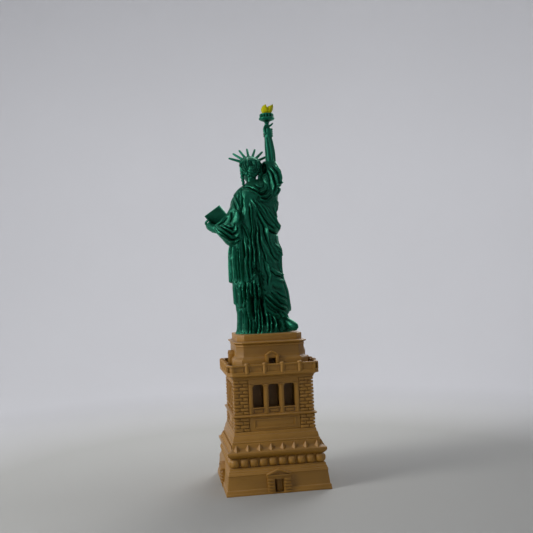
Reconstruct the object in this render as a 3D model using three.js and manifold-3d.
// A miniature landmark: a robed figure lifts a torch above a stone-built pedestal. It is a kit of printed
// pieces that plug together. Units are millimetres and +Z is up. The figure faces -Y, so its left arm, with
// the tablet, is on +X. The origin is under the middle of the pedestal.
import * as THREE from "three";
import { mergeVertices } from "three/addons/utils/BufferGeometryUtils.js";
import Module from "manifold-3d";

const wasm = await Module();
wasm.setup();

const FIT = 0.3; // gap round a piece that plugs into its neighbour
const QUARTER = Math.PI / 2;

// Heights of the joints between the courses of the pedestal, from the ground up.
const TOP = {
  foundation: 19, shields: 27, ledge: 31.5, brackets: 37, towerBase: 45, lowerTower: 55.5, stringCourse: 57.6,
  loggia: 83.5, cornice: 88.5, parapet: 95.2, plinth: 109.3, moulding: 112.2, cap: 117,
};
const GROUND_HALF = 39.6; // half the width of the pedestal where it stands
const TOWER_HALF = 30.2; // half the width of the tower between its corner piers
const PIER_INNER = 19.3; // half the width of the wall between two corner piers
const PARAPET_HALF = 34.8;
const PARAPET_CUT = 3.4; // how much of each corner is cut off
const CAP_HALF = 25;
const CAP_CUT = 4.9;
const WAIST = 197; // the joint between the skirt and the torso
const SPIGOT = { x: 22, y: 16, depth: 4.1 }; // under the figure, in its socket in the cap
const RAYS = { count: 7, step: 0.361, from: 8.7, to: 18.6, radius: 1 };
const FAN = { x: 6.4, y: -1.6, z: 251.6, tilt: 0.66, roll: 0.045 }; // the middle of the fan of rays
const TORCH = { x: -8.4, y: -0.6, rim: 291.6, socket: 289.3, plug: 1.7 };

const stone = new THREE.MeshStandardMaterial({ color: 0x9a7c4e, roughness: 0.62, metalness: 0 });
const verdigris = new THREE.MeshStandardMaterial({ color: 0x0b5a3e, roughness: 0.42, metalness: 0 });
const amber = new THREE.MeshStandardMaterial({ color: 0xb9b000, roughness: 0.35, metalness: 0 });

const landmark = new THREE.Group();

function add(name, geometry, material) {
  const mesh = new THREE.Mesh(geometry, material);
  mesh.name = name;
  landmark.add(mesh);
}

// ---- Solids ----

function solid(geometry) {
  const bare = geometry.index ? geometry.toNonIndexed() : geometry.clone();
  bare.deleteAttribute("normal");
  bare.deleteAttribute("uv");
  const merged = mergeVertices(bare, 1e-4);
  return new wasm.Manifold(new wasm.Mesh({
    numProp: 3,
    vertProperties: merged.attributes.position.array,
    triVerts: new Uint32Array(merged.index.array),
  }));
}

function geometryOf(manifold) {
  const mesh = manifold.getMesh();
  return new THREE.BufferGeometry()
    .setAttribute("position", new THREE.BufferAttribute(mesh.vertProperties, 3))
    .setIndex(new THREE.BufferAttribute(mesh.triVerts, 1));
}

function join(...pieces) {
  return geometryOf(pieces.map(solid).reduce((whole, piece) => whole.add(piece)));
}

function cut(piece, ...tools) {
  return geometryOf(tools.map(solid).reduce((whole, tool) => whole.subtract(tool), solid(piece)));
}

// A box from its two corners.
function block(x0, y0, z0, x1, y1, z1) {
  return new THREE.BoxGeometry(x1 - x0, y1 - y0, z1 - z0)
    .translate((x0 + x1) / 2, (y0 + y1) / 2, (z0 + z1) / 2);
}

// A round solid about an upright line, from [radius, height] pairs that run upwards.
function turned(profile, sides = 16) {
  const outline = profile.map(([radius, z]) => new THREE.Vector2(radius, z));
  outline.unshift(new THREE.Vector2(0, profile[0][1]));
  outline.push(new THREE.Vector2(0, profile.at(-1)[1]));
  return new THREE.LatheGeometry(outline, sides).rotateX(QUARTER);
}

// A closed skin of rings. at(angle, share, rim) gives a point: angle runs round +Z from +X, share runs from
// the first ring to the last, and rim is 1 on the skin and 0 in the middle of an end.
function ringed(around, along, at) {
  const skin = new THREE.CylinderGeometry(1, 1, 1, around, along).rotateX(QUARTER);
  const place = skin.attributes.position;
  for (let i = 0; i < place.count; i++) {
    const [x, y, share] = [place.getX(i), place.getY(i), place.getZ(i) + 0.5];
    const point = at(Math.atan2(y, x), share, Math.hypot(x, y) > 0.5 ? 1 : 0);
    place.setXYZ(i, point.x, point.y, point.z);
  }
  return skin;
}

// Values between the rows of a table whose first column rises, eased from row to row.
function between(rows, key) {
  const last = rows.length - 1;
  let i = 0;
  while (i < last - 1 && key > rows[i + 1][0]) i++;
  const share = Math.min(1, Math.max(0, (key - rows[i][0]) / (rows[i + 1][0] - rows[i][0])));
  const [before, after] = [rows[Math.max(0, i - 1)], rows[Math.min(last, i + 2)]];
  return rows[i].map((from, k) => {
    const to = rows[i + 1][k];
    const [a, b] = [(to - before[k]) / 2, (after[k] - from) / 2];
    const [s2, s3] = [share * share, share * share * share];
    return (2 * s3 - 3 * s2 + 1) * from + (s3 - 2 * s2 + share) * a + (3 * s2 - 2 * s3) * to + (s3 - s2) * b;
  });
}

// A limb of round rings along a smooth path, from [x, y, z, radius] rows. grow makes its seat in a neighbour.
function limb(rows, grow = 0, around = 10) {
  const path = new THREE.CatmullRomCurve3(rows.map(([x, y, z]) => new THREE.Vector3(x, y, z)));
  const radii = rows.map((row, i) => [i / (rows.length - 1), row[3]]);
  const way = path.points.at(-1).clone().sub(path.points[0]).toArray().map(Math.abs);
  const across = new THREE.Vector3().setComponent(way.indexOf(Math.min(...way)), 1);
  return ringed(around, 2 * (rows.length - 1), (angle, share, rim) => {
    const forward = path.getTangent(share);
    const side = across.clone().cross(forward).normalize();
    const other = forward.clone().cross(side);
    const radius = rim * (between(radii, share)[1] + grow);
    return path.getPoint(share)
      .addScaledVector(forward, grow * (2 * share - 1))
      .addScaledVector(side, radius * Math.cos(angle))
      .addScaledVector(other, radius * Math.sin(angle));
  });
}

function egg([x, y, z], [rx, ry, rz], grow = 0) {
  return new THREE.SphereGeometry(1, 12, 8).rotateX(QUARTER)
    .scale(rx + grow, ry + grow, rz + grow).translate(x, y, z);
}

// A square course of masonry, from [half width, height] pairs that run upwards.
function squareCourse(levels) {
  return turned(levels.map(([half, z]) => [half * Math.SQRT2, z]), 4).rotateZ(QUARTER / 2);
}

// A square course with its corners cut off, from [half width, cut, height] rows that run upwards.
function cutCornerCourse(levels) {
  const spans = levels.length - 1;
  return ringed(8, spans, (angle, share, rim) => {
    const [half, cut, z] = levels[Math.round(share * spans)];
    const corner = Math.round(angle / (QUARTER / 2) + 8);
    const [x, y] = corner % 2 ? [half - cut, half] : [half, half - cut];
    const point = new THREE.Vector3(x, y, 0);
    const turn = Math.floor(corner / 2) * QUARTER;
    return point.multiplyScalar(rim).applyAxisAngle(new THREE.Vector3(0, 0, 1), turn).setZ(z);
  });
}

// A solid of one outline in the x-z plane, between two depths that are counted outwards from the middle.
function wallPiece(points, inner, outer) {
  const shape = new THREE.Shape(points.map(([x, z]) => new THREE.Vector2(x, z)));
  return new THREE.ExtrudeGeometry(shape, { depth: outer - inner, bevelEnabled: false })
    .rotateX(QUARTER).translate(0, -inner, 0);
}

// The four sides of the pedestal, with the turn from the front that each one has.
const SIDES = [["front", 0], ["right", -QUARTER], ["back", 2 * QUARTER], ["left", QUARTER]];
const CORNERS = [["front_left", 0], ["back_left", 1], ["back_right", 2], ["front_right", 3]];

function onEverySide(piece) {
  return SIDES.map(([, turn]) => piece.clone().rotateZ(turn));
}

// ---- Pedestal ----

function rectangle(half, low, high) {
  return [[-half, low], [half, low], [half, high], [-half, high]];
}

// Gabled doorways: the portals at the foot of the walls, and the small ones on the plinth above the parapet.
const PORTAL = { half: 9.2, eaves: 13.6, ridge: 16.7, doorHalf: 3.2, doorTop: 11.3, inner: 37, outer: 40.2 };
const AEDICULE = {
  half: 5.1, eaves: 101.4, ridge: 104.5, doorHalf: 2.7, doorTop: 99, inner: 26.7, outer: 30.4,
};

function gable({ half, eaves, ridge }, low, gap = 0) {
  return [
    [-half - gap, low], [half + gap, low], [half + gap, eaves + gap], [0, ridge + gap],
    [-half - gap, eaves + gap],
  ];
}

function doorway(size, low) {
  const door = wallPiece(rectangle(size.doorHalf, low - 1, size.doorTop), size.inner - 1, size.outer + 1);
  return cut(wallPiece(gable(size, low), size.inner, size.outer), door);
}

function doorwaySeat(size, low) {
  return wallPiece(gable(size, low, FIT), size.inner - FIT, size.outer + 4);
}

function foundation() {
  const walls = squareCourse([
    [GROUND_HALF, 0], [39.2, 4], [38.5, 4.3], [37.4, 14], [37.7, 14.6], [37.5, 16], [36.9, 16.4],
    [36.9, 17.6],
    [36.4, 18], [36.3, TOP.foundation],
  ]);
  return cut(walls, ...onEverySide(doorwaySeat(PORTAL, -1)));
}

function shieldCourse() {
  const [perSide, spacing, half] = [10, 7.15, 35.2];
  const middle = (TOP.foundation + TOP.shields) / 2;
  const dome = turned([[3.3, -0.6], [2.1, 1.3]], 8).rotateX(QUARTER);
  const row = [];
  for (let i = 0; i < perSide; i++) {
    row.push(dome.clone().translate((i - (perSide - 1) / 2) * spacing, -half, middle));
  }
  const slab = squareCourse([
    [half + 0.5, TOP.foundation], [half + 0.5, 19.6], [half, 19.8], [half, TOP.shields],
  ]);
  return join(slab, ...row.flatMap(onEverySide));
}

function bracketCourse() {
  const [perSide, spacing] = [8, 8.75];
  const bracket = new THREE.ConeGeometry(2.3, 4.9, 4).rotateX(QUARTER);
  const row = [];
  for (let i = 0; i < perSide; i++) {
    row.push(bracket.clone().translate((i - (perSide - 1) / 2) * spacing, -34.2, TOP.ledge + 2.5));
  }
  const slope = squareCourse([
    [36.6, TOP.ledge], [36, 32.4], [34.6, 33.2], [33.6, 35], [33.2, 36.6], [33.2, TOP.brackets],
  ]);
  return join(slope, ...row.flatMap(onEverySide));
}

// The wall between the corner piers: a cross in plan.
function crossBlock(half, low, high) {
  return join(
    block(-PIER_INNER, -half, low, PIER_INNER, half, high),
    block(-half, -PIER_INNER, low, half, PIER_INNER, high),
  );
}

function lowerTower() {
  const panel = wallPiece(rectangle(15.4, 46.9, 53.9), TOWER_HALF - 0.7, TOWER_HALF + 1);
  return cut(crossBlock(TOWER_HALF, TOP.towerBase, TOP.lowerTower), ...onEverySide(panel));
}

// A corner pier of rough stones: a core with a slab for each course of stones.
function cornerPier(low, high, half, courses) {
  const inner = PIER_INNER + FIT;
  const joint = 0.45;
  const height = (high - low) / courses;
  const stones = [block(inner, -half + joint, low, half - joint, -inner, high)];
  for (let i = 0; i < courses; i++) {
    const bed = low + i * height;
    stones.push(block(inner, -half, bed + joint / 2, half, -inner, bed + height - joint / 2));
  }
  return join(...stones);
}

const WINDOWS = { spacing: 11.9, half: 4.15, low: 62.5, shoulder: 77.8, high: 79.7, clip: 1 };

// The tools that cut the three windows of one side, from a sill down to a given height.
function windowTools(low, inner) {
  const { spacing, half, shoulder, high, clip } = WINDOWS;
  return [-spacing, 0, spacing].map((x) => wallPiece([
    [x - half, low], [x + half, low], [x + half, shoulder], [x + half - clip, high],
    [x - half + clip, high], [x - half, shoulder],
  ], inner, TOWER_HALF + 2));
}

function loggiaFront() {
  const wall = wallPiece(rectangle(PIER_INNER, TOP.stringCourse, TOP.loggia), 26.7 + FIT, TOWER_HALF);
  return cut(wall, ...windowTools(WINDOWS.low, 25), ...windowTools(TOP.stringCourse + 0.8, 29.4));
}

function parapet() {
  const [thickness, low] = [2.2, TOP.cornice];
  const walls = cutCornerCourse([[PARAPET_HALF, PARAPET_CUT, low], [PARAPET_HALF, PARAPET_CUT, TOP.parapet]]);
  const walk = cutCornerCourse([
    [PARAPET_HALF - thickness, PARAPET_CUT - 0.9, low - 1],
    [PARAPET_HALF - thickness, PARAPET_CUT - 0.9, TOP.parapet + 1],
  ]);
  const [posts, spacing] = [4, 13.4];
  const row = [];
  const panels = [];
  for (let i = 0; i < posts; i++) {
    const x = (i - (posts - 1) / 2) * spacing;
    row.push(block(x - 1.5, -PARAPET_HALF - 0.5, low, x + 1.5, -PARAPET_HALF + thickness, TOP.parapet + 1.4));
  }
  for (let i = 0; i <= posts; i++) {
    const x = (i - posts / 2) * spacing;
    const half = i % posts ? 4.6 : 4.2;
    const face = -PARAPET_HALF;
    panels.push(block(x - half, face - 1, low + 1.3, x + half, face + 0.5, TOP.parapet - 1.2));
  }
  return join(cut(walls, walk, ...panels.flatMap(onEverySide)), ...row.flatMap(onEverySide));
}

function upperPlinth() {
  const body = cutCornerCourse([
    [28.6, 5.6, TOP.cornice], [28.6, 5.6, 98.4], [26.6, 5.2, 99.9], [26.3, 5.1, TOP.plinth],
  ]);
  return cut(body, ...onEverySide(doorwaySeat(AEDICULE, TOP.cornice - 1)));
}

function capBlock() {
  const body = cutCornerCourse([[CAP_HALF, CAP_CUT, TOP.moulding], [CAP_HALF, CAP_CUT, TOP.cap]]);
  const [x, y] = [SPIGOT.x / 2 + FIT, SPIGOT.y / 2 + FIT];
  return cut(body, block(-x, -y, TOP.cap - SPIGOT.depth - FIT, x, y, TOP.cap + 1));
}

// ---- Figure ----

// Sections of the clothed body, as [height, middle x, half width, middle y, half depth] rows, upwards.
const SKIRT = [
  [TOP.cap + FIT, -0.3, 24.6, 0.6, 19.6], [125, 0.2, 23.6, 1, 18.6], [133, 1.8, 21.8, 1, 17.4],
  [141, 2.6, 21.6, 0.8, 16.6], [150, 3.3, 21, 0.6, 16], [158, 5.2, 20.4, 0.4, 15.6],
  [167, 6, 19.8, 0.2, 15.2],
  [177, 5.8, 20, 0, 15], [187, 6, 19.2, 0, 14.4], [WAIST, 4.6, 18, 0, 13.6],
];
const TORSO = [
  [WAIST + FIT, 4.6, 18, 0, 13.4], [204, 4.4, 17.6, 0, 12.9], [211, 5, 17.6, 0, 12.4],
  [219, 4.4, 18.2, 0, 11.8],
  [226, 3.2, 17.2, 0, 11], [231, 2.4, 15.6, 0.3, 9.8], [235, 1.6, 12.6, 0.5, 8], [238, 1.4, 8, 0.6, 5.6],
];

// A fold is a ridge that runs round the body as it rises: [ridges all round, twist per millimetre, height].
const FOLDS = { skirt: [[13, 0.012, 0.75], [7, -0.03, 0.6]], torso: [[9, 0.05, 0.55], [5, -0.06, 0.4]] };

function robe(sections, folds, around, along, grow = 0) {
  return ringed(around, along, (angle, share, rim) => {
    const height = sections[0][0] + share * (sections.at(-1)[0] - sections[0][0]);
    const [z, x, halfX, y, halfY] = between(sections, height);
    const ridges = folds.reduce((sum, [count, twist, high]) => (
      sum + high * Math.cos(count * angle + twist * count * (z - TOP.cap))
    ), grow);
    return new THREE.Vector3(
      x + rim * (halfX + ridges) * Math.cos(angle),
      y + rim * (halfY + ridges) * Math.sin(angle),
      height + grow * (2 * share - 1),
    );
  });
}

const RIGHT_ARM = [
  [-8.6, 0.6, 230, 6.2], [-10.4, 0.6, 237, 7.4], [-10.9, 0.5, 243, 7.5], [-10.4, 0.3, 249.4, 5.9],
  [-9.9, 0, 254, 4.2], [-9.9, -0.2, 261, 3.8], [-9.3, -0.4, 268, 3.3], [-8.6, -0.5, 274.4, 2.9],
];
const RIGHT_HAND = [
  [-8.6, -0.5, 274.9, 2.9], [-9.1, -0.6, 278, 3.7], [-9.1, -0.6, 281.6, 3.5], [-8.8, -0.6, 283.4, 2.4],
];
const NECK = [[5.2, 0.6, 232.5, 4.6], [5.8, 0.3, 236, 4.1], [6.4, 0, 240, 4.1]];
const LEFT_ARM = [
  [19, 1, 226.5, 5.6], [22.6, 2.2, 219, 6.4], [26, 3, 211, 7], [28.6, 1.4, 205, 7.2],
  [33.6, -2.6, 203.4, 5.8],
  [38, -6.2, 204.6, 3.4],
];
const SLEEVE_DRAPE = [
  [28.2, 1.2, 187.6, 1.6], [29, 0.8, 192, 4.2], [30.6, -0.4, 198, 5.8], [30.6, -0.4, 204, 6],
];
const LEFT_HAND = [[38.6, -6.6, 204.9, 3], [41.2, -8.4, 206, 2.9], [42.6, -8.6, 208.6, 1.9]];
const RIGHT_FOOT = [[-14.6, 7, 120.4, 2.6], [-18.4, 12, 121.2, 3.3], [-21.6, 17, 122, 3.7]];
const LEFT_FOOT = [[7, -12, 120.4, 2.7], [8.4, -17, 120.1, 2.5], [9.2, -21.6, 119.4, 1.9]];
const SKULL = [[6.7, -1.2, 246.6], [6.3, 7.2, 9.4]];
const HAIR = [[6.7, 0.9, 247.4], [8.3, 8.7, 9.4]];

// The tablet leans out from the body. Its axes are across its width, up its length and out of its back.
const TABLET = { middle: [30.9, -6.6, 206.2], width: 16.4, length: 24, thick: 2.2 };
const TABLET_AXES = [[-0.66, 0.61, 0.43], [0.616, 0.12, 0.777], [0.422, 0.778, -0.455]];

function tablet(grow = 0) {
  const { middle, width, length, thick } = TABLET;
  const across = new THREE.Vector3(...TABLET_AXES[0]).normalize();
  const back = across.clone().cross(new THREE.Vector3(...TABLET_AXES[1])).normalize();
  const turn = new THREE.Matrix4().makeBasis(across, back.clone().cross(across), back);
  return new THREE.BoxGeometry(width + 2 * grow, length + 2 * grow, thick + 2 * grow)
    .applyMatrix4(turn).translate(...middle);
}

function skirt() {
  const body = robe(SKIRT, FOLDS.skirt, 40, 12);
  const seats = [limb(RIGHT_FOOT, FIT), limb(LEFT_FOOT, FIT), limb(LEFT_ARM, FIT), limb(SLEEVE_DRAPE, FIT)];
  const { x, y, depth } = SPIGOT;
  const spigot = block(-x / 2, -y / 2, TOP.cap - depth, x / 2, y / 2, TOP.cap + 2);
  return join(cut(body, ...seats, tablet(FIT)), spigot);
}

function torso() {
  const body = robe(TORSO, FOLDS.torso, 36, 8);
  const seats = [limb(RIGHT_ARM, FIT), limb(LEFT_ARM, FIT), limb(SLEEVE_DRAPE, FIT), limb(NECK, FIT)];
  return cut(body, ...seats, tablet(FIT));
}

function leftSleeve() {
  return cut(join(limb(LEFT_ARM), limb(SLEEVE_DRAPE)), tablet(FIT), limb(LEFT_HAND, FIT));
}

function head() {
  const nose = new THREE.ConeGeometry(1.3, 3.4, 4).rotateX(QUARTER).translate(6.7, -7.9, 245.6);
  return join(egg(...SKULL), limb(NECK), nose);
}

function hair() {
  const face = block(-10, -20, 230, 24, -3.2, 251.6);
  const locks = [-1, 1].map((side) => limb([
    [6.7 + 6.6 * side, 1.6, 243, 1.6], [6.7 + 7.1 * side, 1.8, 239.6, 1.5],
    [6.4 + 6.2 * side, 1.6, 236.2, 1.3],
  ]));
  const nape = limb([[6.7, 8.2, 247, 2.6], [6.6, 8, 243.4, 2.8], [6.4, 6.9, 240.4, 1.9]]);
  const body = join(egg(...HAIR), nape, ...locks);
  const shoulders = robe(TORSO, FOLDS.torso, 36, 8, FIT);
  const seats = [egg(...SKULL, FIT), limb(NECK, FIT), limb(RIGHT_ARM, FIT), shoulders];
  return cut(body, face, ...seats);
}

// Leans a piece that is built round +Y, in the plane of the fan of rays, forwards and sideways into place.
function fanned(piece) {
  return piece.rotateX(QUARTER + FAN.tilt).rotateY(FAN.roll).translate(FAN.x, FAN.y, FAN.z);
}

function diadem() {
  const [inner, outer, half] = [6.4, 8.4, 1.45];
  const arc = new THREE.Shape().absarc(0, 0, outer, -half + QUARTER, half + QUARTER, false);
  arc.absarc(0, 0, inner, half + QUARTER, -half + QUARTER, true);
  const band = new THREE.ExtrudeGeometry(arc, { depth: 2.6, bevelEnabled: false, curveSegments: 12 });
  return cut(fanned(band.translate(0, 0, -1.3)), egg(...SKULL, FIT), egg(...HAIR, FIT));
}

function ray(place) {
  const { step, from, to, radius } = RAYS;
  const rod = new THREE.CapsuleGeometry(radius, to - from - 2 * radius, 2, 6);
  rod.translate(0, (from + to) / 2, 0);
  return fanned(rod.rotateZ(place * step));
}

function torch() {
  const { x, y, rim, socket, plug } = TORCH;
  const body = turned([
    [1.4, 277], [1.4, 283.8], [2.1, 285.2], [3.2, 286.6], [6.2, 287.6], [6.3, 288.4], [5.4, 288.8],
    [5.4, 290.6],
    [5.8, 290.8], [5.8, rim],
  ], 12);
  const bore = turned([[plug + FIT, socket], [plug + FIT, rim + 1]], 12);
  return cut(body, bore).translate(x, y, 0);
}

function rightHand() {
  const grip = turned([[1.4 + FIT, 277 - FIT], [1.4 + FIT, 290]], 12).translate(TORCH.x, TORCH.y, 0);
  return cut(limb(RIGHT_HAND), limb(RIGHT_ARM, FIT), grip);
}

function flame() {
  const { x, y, rim, socket, plug } = TORCH;
  const stem = turned([[plug, socket + FIT], [plug, rim + 1]], 12).translate(x, y, 0);
  const tall = limb([
    [x, y, rim + FIT, 2.2], [x, y, 293, 2.5], [x + 0.6, y, 295.4, 3], [x + 0.1, y, 298, 1.5],
    [x + 0.4, y, 299.8, 0.4],
  ]);
  const short = limb([[x - 0.2, y, 293.4, 1.6], [x - 2.6, y, 296.6, 1.6], [x - 5.4, y, 299.6, 0.4]]);
  return join(stem, tall, short);
}

add("foundation", foundation(), stone);
for (const [side, turn] of SIDES) add(`portal_${side}`, doorway(PORTAL, 0).rotateZ(turn), stone);
add("shield_course", shieldCourse(), stone);
add("ledge_course", squareCourse([
  [36, TOP.shields], [36.4, 28], [37.5, 29.4], [37.6, 30.8], [36.9, TOP.ledge],
]), stone);
add("bracket_course", bracketCourse(), stone);
add("tower_base", squareCourse([
  [33.2, TOP.brackets], [33.4, 37.8], [32.8, 38.6], [32.2, 41], [31.8, 41.4], [31.1, TOP.towerBase],
]), stone);
add("lower_tower", lowerTower(), stone);
add("string_course", squareCourse([
  [31.2, TOP.lowerTower], [32.1, 56.1], [32.1, 57.1], [31.2, TOP.stringCourse],
]), stone);
add("loggia_core", crossBlock(26.7, TOP.stringCourse, TOP.loggia), stone);
for (const [side, turn] of SIDES) add(`loggia_${side}`, loggiaFront().rotateZ(turn), stone);
for (const [corner, turns] of CORNERS) {
  const lowerPier = cornerPier(TOP.towerBase, TOP.lowerTower, 30.8, 4);
  const upperPier = cornerPier(TOP.stringCourse, TOP.loggia, 30.5, 10);
  add(`lower_pier_${corner}`, lowerPier.rotateZ(turns * QUARTER), stone);
  add(`upper_pier_${corner}`, upperPier.rotateZ(turns * QUARTER), stone);
}
add("cornice", cutCornerCourse([
  [30.6, 0.3, TOP.loggia], [31.2, 0.8, 84.5], [33.2, 2.4, 85.9], [34.5, 3.3, 86.5], [34.8, 3.4, TOP.cornice],
]), stone);
add("parapet", parapet(), stone);
add("upper_plinth", upperPlinth(), stone);
for (const [side, turn] of SIDES) {
  add(`aedicule_${side}`, doorway(AEDICULE, TOP.cornice).rotateZ(turn), stone);
}
add("plinth_moulding", cutCornerCourse([
  [26.3, 5.1, TOP.plinth], [27.1, 5.3, 110], [28, 5.6, 110.7], [28, 5.6, 111.2], [25.4, 5, TOP.moulding],
]), stone);
add("cap_block", capBlock(), stone);

add("skirt", skirt(), verdigris);
add("torso", torso(), verdigris);
add("right_foot", limb(RIGHT_FOOT), verdigris);
add("left_foot", limb(LEFT_FOOT), verdigris);
add("left_sleeve", leftSleeve(), verdigris);
add("left_hand", cut(limb(LEFT_HAND), tablet(FIT)), verdigris);
add("tablet", tablet(), verdigris);
add("right_arm", limb(RIGHT_ARM), verdigris);
add("right_hand", rightHand(), verdigris);
add("torch", torch(), verdigris);
add("flame", flame(), amber);
add("head", head(), verdigris);
add("hair", hair(), verdigris);
add("diadem", diadem(), verdigris);
for (let i = 0; i < RAYS.count; i++) add(`ray_${i + 1}`, ray((RAYS.count - 1) / 2 - i), verdigris);

export default landmark;
